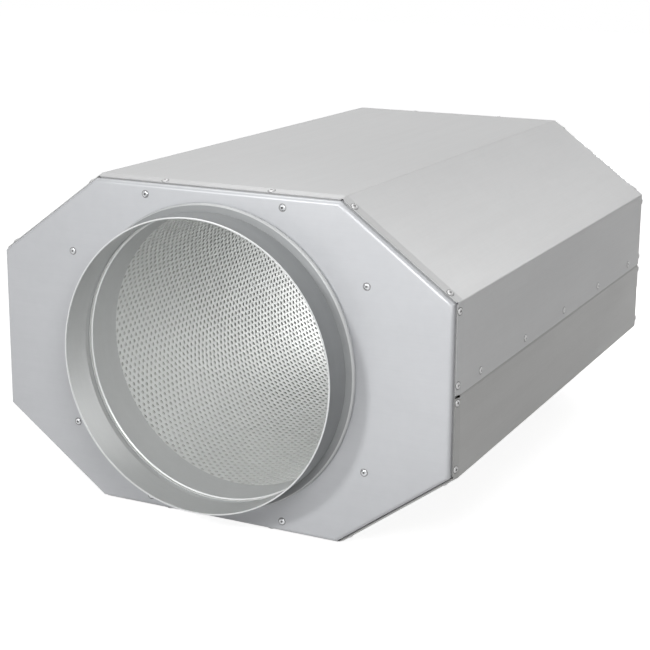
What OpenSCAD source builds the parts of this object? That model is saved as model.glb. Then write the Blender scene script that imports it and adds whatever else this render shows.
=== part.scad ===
// Round-duct sound attenuator: an eight-sided sheet steel casing packed with
// mineral wool round a perforated tube, with a beaded spigot at each end.
// Millimetres. The duct axis is Y, +Z is up, and the origin is the centre of the air passage.

/* [Casing] */
// Width across the two side panels
casing_w = 542; // [500:2:620]
// Height from the bottom panel to the top panel
casing_h = 366; // [350:2:440]
// Length between the faces of the two end plates
casing_len = 690; // [480:10:1000]
// Run of each slanted panel along the width
corner_w = 126; // [105:1:150]
// Run of each slanted panel along the height
corner_h = 92; // [80:1:105]
// Thickness of the folded shell sheet
shell_t = 1; // [0.8:0.1:1.2]
// Outside radius of the folds in the shells
shell_fold_r = 2.5; // [1.5:0.25:3]

/* [Shell ends] */
// How far the edge of the shells lies behind the face of the end plate
shell_setback = 7; // [6:0.5:9]
// Length of the margin that is drawn in at each end of the shells
margin_len = 9; // [8.5:0.5:12]
// How far the margin is drawn in at its edge
margin_draw = 2.2; // [1.5:0.1:2.8]
// Gap between the edge of the margin and the flange of the end plate
margin_gap = 1.1; // [0.2:0.1:1.5]
// Gap between a margin and the nearest fold, so that it can be drawn in
fold_relief = 1.5; // [1:0.25:3]

/* [Side seams] */
// Height of the upper shell's lower edge
seam_z = -4; // [-12:1:8]
// Height of the lower shell's tongue behind the upper shell
tongue_h = 20; // [16:1:30]
// Height of the step that sets the tongue back
joggle_h = 3; // [2:0.5:4]
// Gap between sheets that lap
lap_gap = 0.2; // [0.1:0.05:0.3]
// Rivets along each seam
seam_rivets = 5; // [3:1:7]
// Distance of the first and last seam rivets from the faces of the end plates
seam_rivet_end = 70; // [40:5:100]
// Height of the seam rivets above the upper shell's lower edge
seam_rivet_rise = 10; // [7:0.5:12]
// Depth of the lower end rivet below the upper shell's lower edge
seam_rivet_drop = 8; // [7.5:0.5:14]

/* [End plates] */
// Thickness of the end plates
plate_t = 1; // [0.8:0.1:1.2]
// Outside radius of the bend round the end plates
plate_bend_r = 5; // [3:0.5:6]
// Reach of the plate's flange past the drawn margin
flange_reach = 1.5; // [0.5:0.5:4]
// Gap left at each corner of the plate where two flanges meet
plate_relief = 3; // [3:0.5:5]

/* [Spigots] */
// Outside diameter of the spigots, for a 315 mm duct
spigot_d = 314; // [250:1:318]
// Reach of a spigot in front of its end plate
spigot_len = 45; // [35:1:80]
// Wall of the spigots
spigot_t = 1; // [0.7:0.1:1.3]
// Reach of a spigot behind the face of its end plate
sleeve_len = 50; // [40:1:70]
// Width of the bead that stops against the end plate
bead_w = 8.5; // [6:0.5:12]
// Height of that bead
bead_h = 4.5; // [3:0.5:5.5]

/* [Perforated tube] */
// Wall of the perforated tube
tube_t = 0.8; // [0.6:0.1:1.2]
// Diameter of the holes
hole_d = 20; // [10:1:30]
// Rows of holes round the tube, an even number
hole_rows = 16; // [8:2:16]
// Holes in a row
holes_per_row = 7; // [4:1:7]
// Plain length left between the sleeve and the first hole
hole_margin = 4; // [2:1:20]

/* [Tube carriers] */
// Thickness of the carriers
carrier_t = 1; // [0.8:0.1:1.2]
// Length of the collar that holds the tube, from the back of the end plate
collar_len = 20; // [12:1:30]
// Outside radius where the collar is turned out of the carrier
collar_bend_r = 3; // [2:0.25:4]
// Distance from the outer rivets to the upright edges of the carrier
carrier_edge = 14; // [8:1:20]
// Distance from the face rivets to the slanted edges of the carrier
carrier_slant_edge = 8; // [6:0.5:12]

/* [Filling] */
// Thickness of the fleece round the tube
fleece_t = 1; // [0.5:0.1:2]
// Gap between the wool and the shells' sheet
wool_gap = 0.3; // [0.2:0.1:0.8]
// Height and depth of the rebate that clears the tails of the seam rivets
wool_rebate = 6; // [5.5:0.5:10]

/* [Rivets] */
// Diameter of the rivet shanks
rivet_d = 3.2; // [3:0.1:4]
// Diameter of the rivet heads
rivet_head_d = 6.5; // [6:0.1:7]
// Height of the rivet heads
rivet_head_h = 0.9; // [0.7:0.1:1]
// Diameter of the set ends behind the sheet
rivet_tail_d = 4.8; // [4.4:0.1:5]
// Length of the set ends
rivet_tail_h = 2.5; // [2:0.1:3]
// Diameter of the open core in a rivet head
rivet_core_d = 1.9; // [1.5:0.1:2.1]
// Distance of the end rivets from the line where the margin starts
rim_rivet_back = 5.4; // [5.3:0.1:5.9]
// Distance of the top and bottom end rivets from the middle
rim_rivet_x = 63; // [40:1:90]
// Distance of the slanted panels' end rivets from the folds
slant_rivet_edge = 14; // [10:1:40]
// Distance of the side panels' end rivets from the folds
side_rivet_edge = 10; // [8:1:30]
// Distance of the inner face rivets from the middle
face_rivet_in = 81; // [70:1:95]
// Depth of the inner face rivets below the top panel, and above the bottom panel
face_rivet_drop = 15.5; // [13.5:0.5:20]
// Distance of the outer face rivets from the middle
face_rivet_out = 175; // [165:1:185]
// Height of the outer face rivets above and below the duct axis
face_rivet_level = 97; // [85:1:110]

/* [Hidden] */

// Clearances of the fits
spigot_fit = 0.15;
tube_fit = 0.2;
fleece_fit = 0.2;
rivet_fit = 0.05;
seat_gap = 0.3;
wool_split_gap = 0.3;

// Roundness of the large and the small circles, and points in a fold
large_fn = 180;
small_fn = 32;
fold_steps = 6;
bead_steps = 14;
dome_steps = 5;
// Overlap of the strips that are joined into one sheet, and of cuts past a face
join = 2;

// Half sizes, and the slanted panels' outward normal and distance from the axis
half_w = casing_w / 2;
half_h = casing_h / 2;
half_len = casing_len / 2;
slant = [corner_h, corner_w] / norm([corner_h, corner_w]);
slant_dist = slant * [half_w, half_h - corner_h];
slant_tilt = atan2(slant.x, slant.y);

// Turn of each panel about the duct axis: right side, then round over the top to the left
panel_tilt = [90, slant_tilt, 0, -slant_tilt, -90, slant_tilt - 180, 180, 180 - slant_tilt];
panels = [0 : 7];
RIGHT = 0;
TOP = 2;
LEFT = 4;
BOTTOM = 6;

// Drawn margins at the front end
draw_angle = atan(margin_draw / margin_len);
tab_len = margin_len / cos(draw_angle);
margin_depth = shell_setback + margin_len;
fold_y = margin_depth - half_len;

// Side seams
tongue_step = shell_t + lap_gap;
tongue_top = seam_z + tongue_h;
joggle_top = seam_z - lap_gap;
joggle_bottom = joggle_top - joggle_h;
seam_rivet_z = seam_z + seam_rivet_rise;
seam_grip = 2 * shell_t + lap_gap;
seam_rivet_pitch = (casing_len - 2 * seam_rivet_end) / (seam_rivets - 1);

// End plates
plate_inset = shell_t + margin_draw + margin_gap;
plate_flat_inset = plate_inset + plate_bend_r;
flange_depth = margin_depth + flange_reach;

// Tube, collar and fleece radii, from the spigot outwards
spigot_r = spigot_d / 2;
tube_r = spigot_r + tube_fit;
tube_outer_r = tube_r + tube_t;
tube_half = half_len - plate_t - seat_gap;
collar_r = tube_outer_r + tube_fit;
collar_outer_r = collar_r + carrier_t;
collar_end = plate_t + collar_len;
fleece_r = tube_outer_r + fleece_fit;
fleece_outer_r = fleece_r + fleece_t;
fleece_half = half_len - collar_end - seat_gap;
wool_r = max(fleece_outer_r, collar_outer_r) + fleece_fit;
wool_inset = seam_grip + wool_gap;
wool_half = half_len - flange_depth - seat_gap;

// Holes in the tube
hole_zone = casing_len - 2 * (sleeve_len + hole_margin) - hole_d;
hole_pitch = hole_zone / (holes_per_row - 0.5);

// Rivet places: panel and distance along it at the ends, X and Z on the upper right of the faces
rim_grip = (plate_inset + plate_t - rim_rivet_back * sin(draw_angle)) / cos(draw_angle)
    + rivet_tail_d / 2 * tan(draw_angle);
slant_rivet_x = norm([corner_w, corner_h]) / 2 - slant_rivet_edge;
side_rivet_z = half_h - corner_h - side_rivet_edge;
lower_rivet_z = seam_z - seam_rivet_drop;
upper_rim = [
    for (s = [-1, 1]) [TOP, s * rim_rivet_x],
    for (k = [TOP - 1, TOP + 1], s = [-1, 1]) [k, s * slant_rivet_x],
    for (z = [seam_rivet_z, side_rivet_z]) each [[RIGHT, -z], [LEFT, z]]
];
lower_rim = [
    for (s = [-1, 1]) [BOTTOM, s * rim_rivet_x],
    for (k = [BOTTOM - 1, BOTTOM + 1], s = [-1, 1]) [k, s * slant_rivet_x],
    for (z = [lower_rivet_z, -side_rivet_z]) each [[RIGHT, -z], [LEFT, z]]
];
face_rivets = [[face_rivet_in, half_h - face_rivet_drop], [face_rivet_out, face_rivet_level]];
face_grip = plate_t + carrier_t;

// Sheet and filling colours
zinc = "#c3c6c9";
zinc_plate = "#ced1d5";
zinc_inner = "#aeb2b3";
wool_tone = "#c9c08c";
fleece_tone = "#e4e2d6";
rivet_tone = "#d5d7d9";

// Corners of an eight-sided outline with slanted edges parallel to the casing's,
// from the right side's lower end round over the top
function octagon(hw, hh, dist) =
    let (z = (dist - slant.x * hw) / slant.y, x = (dist - slant.y * hh) / slant.x)
    [[hw, -z], [hw, z], [x, hh], [-x, hh], [-hw, z], [-hw, -z], [-x, -hh], [x, -hh]];

// The casing's outline, moved in by a distance
function outline(inset) = octagon(half_w - inset, half_h - inset, slant_dist - inset);

// Half the length of a panel on the outline moved in by a distance
function panel_half(k, inset) = norm(outline(inset)[(k + 1) % 8] - outline(inset)[k]) / 2;

function unit(v) = v / norm(v);
function heading(v) = atan2(v.y, v.x);
function short_turn(a) = a > 180 ? a - 360 : a < -180 ? a + 360 : a;
function reversed(list) = [for (i = [len(list) - 1 : -1 : 0]) list[i]];

// Arc of radius r that rounds the corner b between a and c
function corner_arc(a, b, c, r) =
    let (
        u = unit(a - b),
        v = unit(c - b),
        half = acos(u * v) / 2,
        centre = b + unit(u + v) * r / sin(half),
        first = heading(b + u * r / tan(half) - centre),
        turn = short_turn(heading(b + v * r / tan(half) - centre) - first)
    )
    [
        for (i = [0 : fold_steps])
            let (a = first + turn * i / fold_steps)
            centre + r * [cos(a), sin(a)]
    ];

// A line of points with its inner corners from first to last rounded
function folded(p, first, last, r) = [
    for (i = [0 : len(p) - 1])
        each (i >= first && i <= last) ? corner_arc(p[i - 1], p[i], p[i + 1], r) : [p[i]]
];

// Line of the upper shell's sheet at a depth below its outside
function upper_line(d) =
    let (o = outline(d))
    [[o[1].x, seam_z], o[1], o[2], o[3], o[4], [o[4].x, seam_z]];

// Line of the lower shell's sheet at a depth below its outside, with the set-back tongues
function lower_line(d) =
    let (o = outline(d), x = o[0].x)
    [
        [tongue_step - x, tongue_top], [tongue_step - x, joggle_top], [-x, joggle_bottom],
        o[5], o[6], o[7], o[0],
        [x, joggle_bottom], [x - tongue_step, joggle_top], [x - tongue_step, tongue_top]
    ];

// Section of a folded sheet between its outside and inside lines
function sheet_section(outside, inside, first, last) = concat(
    folded(outside, first, last, shell_fold_r),
    reversed(folded(inside, first, last, shell_fold_r - shell_t))
);

// Extrudes a section in X and Z along the duct, the same length to both sides of the middle
module along_duct(half) {
    translate([0, half, 0])
        rotate([90, 0, 0])
            linear_extrude(2 * half)
                children();
}

// Turns a shape about Z into one about the duct axis
module about_duct() {
    rotate([-90, 0, 0])
        children();
}

// Puts a shape on the middle of a panel, with its Z outwards and its Y along the duct
module on_panel(k, inset = 0) {
    corners = outline(inset);
    middle = (corners[k] + corners[(k + 1) % 8]) / 2;
    translate([middle.x, 0, middle.y])
        rotate([0, panel_tilt[k], 0])
            children();
}

// Puts a front-end shape on both ends
module both_ends() {
    children();
    rear_end() children();
}

module rear_end() {
    mirror([0, 1, 0])
        children();
}

// Puts a shape on a drawn margin, at a place along its panel, with Z out of the margin
module on_margin(k, x) {
    on_panel(k)
        translate([x, fold_y, 0])
            rotate([draw_angle, 0, 0])
                children();
}

// Puts a shape at each of the end rivets of a list
module at_rim(places) {
    for (p = places)
        on_margin(p[0], p[1])
            translate([0, -rim_rivet_back, 0])
                children();
}

// Puts a shape at each of the eight face rivets, with Z out of the front plate
module at_face() {
    for (p = face_rivets, side = [-1, 1], level = [-1, 1])
        translate([side * p.x, -half_len, level * p.y])
            rotate([90, 0, 0])
                children();
}

// Puts a shape at each rivet along a seam
module at_seam(k) {
    along = k == RIGHT ? -seam_rivet_z : seam_rivet_z;
    for (i = [0 : seam_rivets - 1])
        on_panel(k)
            translate([along, (i - (seam_rivets - 1) / 2) * seam_rivet_pitch, 0])
                children();
}

// Cutter for a rivet hole through sheets down to a depth
module rivet_hole(depth) {
    translate([0, 0, -depth - join])
        cylinder(d = rivet_d + 2 * rivet_fit, h = depth + 2 * join, $fn = small_fn);
}

// Set blind rivet: domed head with an open core, shank through the sheets and swelled end
module rivet(grip) {
    head_r = rivet_head_d / 2;
    core_r = rivet_core_d / 2;
    edge_h = rivet_head_h / 3;
    tail_r = rivet_tail_d / 2;
    tail_end = -grip - rivet_tail_h;
    dome = [
        for (i = [0 : dome_steps])
            let (r = core_r + (head_r - core_r) * i / dome_steps)
            [r, edge_h + (rivet_head_h - edge_h) * (1 - pow((r - core_r) / (head_r - core_r), 2))]
    ];
    section = concat(
        [[0, -rivet_head_h], [core_r, -rivet_head_h]],
        dome,
        [[head_r, 0], [rivet_d / 2, 0], [rivet_d / 2, -grip], [tail_r, -grip]],
        [[tail_r, tail_end + rivet_tail_h / 3], [core_r, tail_end], [0, tail_end]]
    );
    color(rivet_tone)
        rotate_extrude($fn = small_fn)
            polygon(section);
}

// One drawn margin at the front: its two ends along the panel at the fold line and at the edge
module margin(k, from, to) {
    on_margin(k, 0)
        translate([0, 0, -shell_t])
            linear_extrude(shell_t)
                polygon([[from[0], 0], [to[0], 0], [to[1], -tab_len], [from[1], -tab_len]]);
}

// Reach of a margin from the middle of its panel, at the fold line and at the edge
function margin_reach(k) = [for (d = [0, margin_draw]) panel_half(k, d) - fold_relief];

// Margins of a shell at the front: three whole panels and the part of each side beyond a height
module margins(whole, side_end, up) {
    for (k = whole)
        margin(k, -margin_reach(k), margin_reach(k));
    edge = [side_end, side_end];
    margin(RIGHT, up * -margin_reach(RIGHT), -edge);
    margin(LEFT, edge, up * margin_reach(LEFT));
}

// Folded half-shell from its section, its margins, and the holes for its rivets
module shell(section, whole, side_end, up, rim) {
    difference() {
        union() {
            along_duct(-fold_y)
                polygon(section);
            both_ends()
                margins(whole, side_end, up);
        }
        both_ends()
            at_rim(rim)
                rivet_hole(rim_grip);
        for (k = [RIGHT, LEFT])
            at_seam(k)
                rivet_hole(seam_grip);
    }
}

// The four folds of each shell are the second to fifth corners of the upper one's line,
// and the fourth to seventh of the lower one's
module upper_shell() {
    section = sheet_section(upper_line(0), upper_line(shell_t), 1, 4);
    color(zinc)
        shell(section, [TOP - 1, TOP, TOP + 1], seam_z, 1, upper_rim);
}

module lower_shell() {
    section = sheet_section(lower_line(0), lower_line(shell_t), 3, 6);
    color(zinc)
        shell(section, [BOTTOM - 1, BOTTOM, BOTTOM + 1], joggle_bottom, -1, lower_rim);
}

// Bend and flange along one edge of the front plate
module plate_edge(k) {
    inner_r = plate_bend_r - plate_t;
    arc = [for (i = [0 : fold_steps]) 90 + 90 * i / fold_steps];
    section = concat(
        [for (a = reversed(arc)) plate_bend_r * [1 + cos(a), sin(a) - 1]],
        [[flange_depth, 0], [flange_depth, -plate_t]],
        [for (a = arc) [plate_bend_r + inner_r * cos(a), inner_r * sin(a) - plate_bend_r]],
        [[plate_t, -plate_bend_r - join], [0, -plate_bend_r - join]]
    );
    length = 2 * (panel_half(k, plate_inset) - plate_relief);
    on_panel(k, plate_inset)
        translate([-length / 2, -half_len, 0])
            rotate([90, 0, 90])
                linear_extrude(length)
                    polygon(section);
}

// Front tray with its bent flanges, duct hole and rivet holes
module end_plate() {
    color(zinc_plate)
        difference() {
            union() {
                translate([0, plate_t - half_len, 0])
                    rotate([90, 0, 0])
                        linear_extrude(plate_t)
                            polygon(outline(plate_flat_inset));
                for (k = panels)
                    plate_edge(k);
            }
            duct_hole(spigot_r + spigot_fit);
            behind_bend(collar_outer_r + lap_gap, flange_depth + join);
            at_face()
                rivet_hole(face_grip);
            at_rim(concat(upper_rim, lower_rim))
                rivet_hole(rim_grip);
        }
}

// Round room about the duct axis from behind the front plate's bend to a depth
module behind_bend(r, depth) {
    translate([0, plate_bend_r - half_len, 0])
        about_duct()
            cylinder(r = r, h = depth - plate_bend_r, $fn = large_fn);
}

// Cutter for a round hole through the front sheets
module duct_hole(r) {
    translate([0, -half_len - join, 0])
        about_duct()
            cylinder(r = r, h = face_grip + 2 * join, $fn = large_fn);
}

module front_end_plate() {
    end_plate();
}

module rear_end_plate() {
    rear_end() end_plate();
}

// Rolled spigot: wall in front of the plate, stop bead against it, sleeve behind it
module spigot() {
    half_bead = bead_w / 2;
    turn = [for (i = [0 : bead_steps]) 180 * i / bead_steps];
    section = concat(
        [[spigot_r, -spigot_len]],
        [for (a = turn) [spigot_r + bead_h * sin(a), -half_bead * (1 + cos(a))]],
        [[spigot_r, sleeve_len], [spigot_r - spigot_t, sleeve_len]],
        [for (a = reversed(turn))
            [spigot_r - spigot_t + bead_h * sin(a), -half_bead - (half_bead - spigot_t) * cos(a)]],
        [[spigot_r - spigot_t, -spigot_len]]
    );
    color(zinc_inner)
        translate([0, -half_len, 0])
            about_duct()
                rotate_extrude($fn = large_fn)
                    polygon(section);
}

module front_spigot() {
    spigot();
}

module rear_spigot() {
    rear_end() spigot();
}

// Flat plate behind the end plate with a turned collar that holds the end of the tube.
// The turned edge keeps to the flat's outline, and the collar is whole behind the plate's bend
module tube_carrier() {
    bend = [for (i = [0 : fold_steps]) 180 + 90 * i / fold_steps];
    centre = [collar_r + collar_bend_r, plate_t + collar_bend_r];
    inner_r = collar_bend_r - carrier_t;
    collar = concat(
        [[collar_r, collar_end]],
        [for (a = bend) centre + collar_bend_r * [cos(a), sin(a)]],
        [[centre.x + join, plate_t], [centre.x + join, face_grip]],
        [for (a = reversed(bend)) centre + inner_r * [cos(a), sin(a)]],
        [[collar_outer_r, collar_end]]
    );
    flat = octagon(
        face_rivet_out + carrier_edge,
        half_h - plate_flat_inset - seat_gap,
        max([for (p = face_rivets) slant * p]) + carrier_slant_edge
    );
    color(zinc_inner) {
        difference() {
            translate([0, face_grip - half_len, 0])
                rotate([90, 0, 0])
                    linear_extrude(carrier_t)
                        polygon(flat);
            duct_hole(centre.x + join / 2);
            at_face()
                rivet_hole(face_grip);
        }
        intersection() {
            translate([0, -half_len, 0])
                about_duct()
                    rotate_extrude($fn = large_fn)
                        polygon(collar);
            union() {
                translate([0, collar_end + join - half_len, 0])
                    rotate([90, 0, 0])
                        linear_extrude(collar_end + join)
                            polygon(flat);
                behind_bend(collar_outer_r + join, collar_end + join);
            }
        }
    }
}

module front_tube_carrier() {
    tube_carrier();
}

module rear_tube_carrier() {
    rear_end() tube_carrier();
}

// Plain tube about the duct axis, the same length to both sides of the middle
module sleeve(r, wall, half) {
    translate([0, -half, 0])
        about_duct()
            difference() {
                cylinder(r = r + wall, h = 2 * half, $fn = large_fn);
                translate([0, 0, -join])
                    cylinder(r = r, h = 2 * (half + join), $fn = large_fn);
            }
}

// Perforated tube: rows of holes along the duct, with every second row set back half a pitch
module perforated_tube() {
    color(zinc_inner)
        difference() {
            sleeve(tube_r, tube_t, tube_half);
            for (row = [0 : hole_rows - 1], i = [0 : holes_per_row - 1]) {
                y = (i - (holes_per_row - 1) / 2 + (row % 2 - 0.5) / 2) * hole_pitch;
                rotate([0, 360 * row / hole_rows, 0])
                    translate([0, y, tube_r - join])
                        cylinder(d = hole_d, h = tube_t + 2 * join, $fn = small_fn);
            }
        }
}

module fleece_wrap() {
    color(fleece_tone)
        sleeve(fleece_r, fleece_t, fleece_half);
}

// Wool between the fleece and one shell, rebated along both seams to clear the rivet tails
module wool(up) {
    other_half = casing_h + wool_split_gap / 2;
    color(wool_tone)
        difference() {
            along_duct(wool_half)
                polygon(outline(wool_inset));
            sleeve_bore(wool_r, wool_half);
            translate([-half_w, -half_len, seam_rivet_z + (up ? -casing_h : -wool_split_gap / 2)])
                cube([casing_w, casing_len, other_half]);
            for (side = [-1, 1])
                translate([side * (half_w - wool_inset), 0, seam_rivet_z])
                    cube([2 * wool_rebate, casing_len, 2 * wool_rebate], center = true);
        }
}

// Cutter for a round passage along the duct
module sleeve_bore(r, half) {
    translate([0, -half - join, 0])
        about_duct()
            cylinder(r = r, h = 2 * (half + join), $fn = large_fn);
}

module upper_wool_infill() {
    wool(true);
}

module lower_wool_infill() {
    wool(false);
}

module front_face_rivets() {
    at_face() rivet(face_grip);
}

module rear_face_rivets() {
    rear_end() at_face() rivet(face_grip);
}

module front_upper_rim_rivets() {
    at_rim(upper_rim) rivet(rim_grip);
}

module front_lower_rim_rivets() {
    at_rim(lower_rim) rivet(rim_grip);
}

module rear_upper_rim_rivets() {
    rear_end() at_rim(upper_rim) rivet(rim_grip);
}

module rear_lower_rim_rivets() {
    rear_end() at_rim(lower_rim) rivet(rim_grip);
}

module right_seam_rivets() {
    at_seam(RIGHT) rivet(seam_grip);
}

module left_seam_rivets() {
    at_seam(LEFT) rivet(seam_grip);
}

upper_shell();
lower_shell();
front_end_plate();
rear_end_plate();
front_spigot();
rear_spigot();
front_tube_carrier();
rear_tube_carrier();
perforated_tube();
fleece_wrap();
upper_wool_infill();
lower_wool_infill();
front_face_rivets();
rear_face_rivets();
front_upper_rim_rivets();
front_lower_rim_rivets();
rear_upper_rim_rivets();
rear_lower_rim_rivets();
right_seam_rivets();
left_seam_rivets();
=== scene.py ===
"""Dressed scene of a duct sound attenuator.

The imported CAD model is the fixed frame: +Y runs along the duct from the front spigot to the
rear one, +Z is up, and the origin is the middle of the air passage. The folded shells and
the tube carriers keep their CAD shapes and get a zinc-coated finish. The end plates, spigots
and rivets are shown with the closed corners, tight bends, rolled rims and domed heads that
the CAD leaves out. The coarse CAD tube gives way to one with the real fine perforation, and
the CAD fleece and wool to a lapped wrap and lumpy slabs.
"""

import logging
import math
from dataclasses import dataclass
from enum import Enum

import bmesh
import bpy
import numpy as np
from mathutils import Matrix, Vector, noise


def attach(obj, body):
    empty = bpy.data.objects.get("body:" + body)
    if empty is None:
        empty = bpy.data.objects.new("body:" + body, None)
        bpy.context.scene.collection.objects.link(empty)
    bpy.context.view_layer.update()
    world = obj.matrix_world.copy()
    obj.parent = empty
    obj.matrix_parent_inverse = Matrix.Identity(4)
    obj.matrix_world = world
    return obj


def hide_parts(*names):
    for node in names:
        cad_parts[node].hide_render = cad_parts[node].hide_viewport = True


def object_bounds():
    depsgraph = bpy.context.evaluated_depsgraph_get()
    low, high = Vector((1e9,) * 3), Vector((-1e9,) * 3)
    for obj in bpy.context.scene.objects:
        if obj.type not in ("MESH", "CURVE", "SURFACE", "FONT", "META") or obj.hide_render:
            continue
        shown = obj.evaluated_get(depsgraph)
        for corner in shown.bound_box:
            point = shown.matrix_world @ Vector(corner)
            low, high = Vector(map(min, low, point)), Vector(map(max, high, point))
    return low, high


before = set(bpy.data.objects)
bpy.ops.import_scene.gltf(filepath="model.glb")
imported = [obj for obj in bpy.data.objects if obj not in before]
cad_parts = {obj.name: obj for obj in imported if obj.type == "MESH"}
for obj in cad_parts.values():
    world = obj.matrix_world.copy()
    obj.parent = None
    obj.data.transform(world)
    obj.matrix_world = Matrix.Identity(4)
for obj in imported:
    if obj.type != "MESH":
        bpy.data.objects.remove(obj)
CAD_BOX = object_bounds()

LOG = logging.getLogger("attenuator")
MM = 0.001
FULL_TURN = 2.0 * math.pi
BODY = "root"
# Distance below which doubled points count as one
WELD = 0.001 * MM
Colour = tuple[float, float, float]
Point = tuple[float, float, float]
WHITE: Colour = (1.0, 1.0, 1.0)


# Named choices


class Run(Enum):
    """Stretch of a rolled sheet's grain: small along the lines, 1 across them."""

    ALONG_DUCT = (1.0, 0.03, 1.0)
    ACROSS_PLATE = (0.03, 1.0, 1.0)
    ROUND_RING = (0.03, 1.0, 0.03)


class End(Enum):
    """The two ends of the duct line, by the sign of Y."""

    FRONT = -1
    REAR = 1

    @property
    def word(self) -> str:
        """Gives the end's word in the names of nodes and pieces."""
        return self.name.lower()

    def place(self, flat: list[Vector], y: float) -> list[Point]:
        """Stands points across and up at a distance from the middle."""
        return [(p.x, self.value * y, p.y) for p in flat]


class Half(Enum):
    """The two halves of the casing, by their word in the names of nodes and pieces."""

    UPPER = "upper"
    LOWER = "lower"

    @property
    def zinc(self) -> str:
        """Names the half's finish; the lower half's is a darker copy of the zinc, painted shade.
        """
        return "casing_zinc" if self is Half.UPPER else "lower_casing_zinc"


class SpigotFace(Enum):
    """The finishes on a spigot, by name and in the order of its material slots."""

    # BRIGHT is the spigot's zinc inside; on the bead's crest it is a painted highlight
    BRIGHT = "spigot_zinc"
    DULL = "spigot_outside_zinc"
    # Paler copy of the zinc on the rolled rim and the groove's slope: painted highlight
    EDGE = "spigot_edge_zinc"


class TreeKind(Enum):
    """The two kinds of node group, by their type in Blender."""

    SHADER = "ShaderNodeTree"
    GEOMETRY = "GeometryNodeTree"


# Node trees


class NodeNet:
    """Node tree with short calls that place nodes and join them."""

    # Numbers of the Mix node's sockets for colours
    MIX_SHARE, MIX_FIRST, MIX_SECOND, MIX_RESULT = 0, 6, 7, 2

    def __init__(self, tree: bpy.types.NodeTree) -> None:
        """Takes the tree that the nodes go into."""
        self.tree = tree

    def feed(self, node: bpy.types.Node, inputs: dict[str | int, object]) -> None:
        """Sets or links a node's inputs.

        Args:
            node: the node.
            inputs: values or sockets by input name or number; a socket is linked, and a
                colour is given by three parts.
        """
        for key, value in inputs.items():
            socket = node.inputs[key]
            if isinstance(value, bpy.types.NodeSocket):
                self.tree.links.new(value, socket)
            elif socket.type == "RGBA":
                socket.default_value = (*value, 1.0)
            else:
                socket.default_value = value

    def put(self, kind: str, inputs: dict[str | int, object] | None = None,
            **settings: object) -> bpy.types.Node:
        """Places one node.

        Args:
            kind: Blender's name for the node's type.
            inputs: values or sockets by input name or number.
            settings: properties of the node itself.

        Returns:
            The new node.
        """
        node = self.tree.nodes.new(kind)
        for name, value in settings.items():
            setattr(node, name, value)
        self.feed(node, inputs or {})
        return node

    def out(self, kind: str, inputs: dict[str | int, object] | None = None,
            **settings: object) -> bpy.types.NodeSocket:
        """Places one node and gives its first output."""
        return self.put(kind, inputs, **settings).outputs[0]

    def math(self, operation: str, a: object, b: object = 0.0) -> bpy.types.NodeSocket:
        """Works on two values or sockets by one of Blender's operations."""
        return self.out("ShaderNodeMath", {0: a, 1: b}, operation=operation)

    def plus(self, a: object, b: object) -> bpy.types.NodeSocket:
        """Adds two values or sockets."""
        return self.math("ADD", a, b)

    def minus(self, a: object, b: object) -> bpy.types.NodeSocket:
        """Takes the second value or socket from the first."""
        return self.math("SUBTRACT", a, b)

    def times(self, a: object, b: object) -> bpy.types.NodeSocket:
        """Multiplies two values or sockets."""
        return self.math("MULTIPLY", a, b)

    def weigh(self, *shares: tuple[bpy.types.NodeSocket, float]) -> bpy.types.NodeSocket:
        """Adds values up by weight.

        Args:
            shares: each value's socket and its weight.

        Returns:
            The sum's socket.
        """
        total, *rest = [self.times(value, weight) for value, weight in shares]
        for term in rest:
            total = self.plus(total, term)
        return total

    def vector(self, operation: str, inputs: dict[int, object]) -> bpy.types.NodeSocket:
        """Works on vectors by one of Blender's operations."""
        return self.out("ShaderNodeVectorMath", inputs, operation=operation)

    def ramp(self, value: bpy.types.NodeSocket, low: float, high: float,
             to_low: float = 0.0, to_high: float = 1.0) -> bpy.types.NodeSocket:
        """Maps a value from one range to another, clamped, with soft ends.

        Args:
            value: the socket to map.
            low: where the first range starts.
            high: where the first range ends.
            to_low: result at low.
            to_high: result at high.

        Returns:
            The result's socket.
        """
        return self.out("ShaderNodeMapRange", {
            "Value": value, "From Min": low, "From Max": high,
            "To Min": to_low, "To Max": to_high}, interpolation_type="SMOOTHSTEP")

    def blend(self, share: object, a: object, b: object,
              mode: str = "MIX") -> bpy.types.NodeSocket:
        """Mixes two colours by the share of the second one.

        Args:
            share: share of the second colour.
            a: first colour or socket.
            b: second colour or socket.
            mode: the blend's name in Blender.

        Returns:
            The mixed colour's socket.
        """
        node = self.put("ShaderNodeMix", {
            self.MIX_SHARE: share, self.MIX_FIRST: a, self.MIX_SECOND: b,
        }, data_type="RGBA", blend_type=mode)
        return node.outputs[self.MIX_RESULT]

    def noise(self, place: bpy.types.NodeSocket, scale: object, detail: float,
              roughness: float = 0.5, distortion: float = 0.0) -> bpy.types.NodeSocket:
        """Places a noise texture.

        Args:
            place: the coordinates' socket.
            scale: scale or its socket.
            detail: number of finer layers.
            roughness: strength of the finer layers.
            distortion: how far the pattern is bent.

        Returns:
            The noise value's socket.
        """
        return self.out("ShaderNodeTexNoise", {
            "Vector": place, "Scale": scale, "Detail": detail,
            "Roughness": roughness, "Distortion": distortion})


def open_net(owner: bpy.types.Material | bpy.types.World) -> NodeNet:
    """Opens the emptied node tree of a material or world.

    Args:
        owner: the material or world.

    Returns:
        Its net.
    """
    owner.use_nodes = True
    owner.node_tree.nodes.clear()
    return NodeNet(owner.node_tree)


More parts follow.
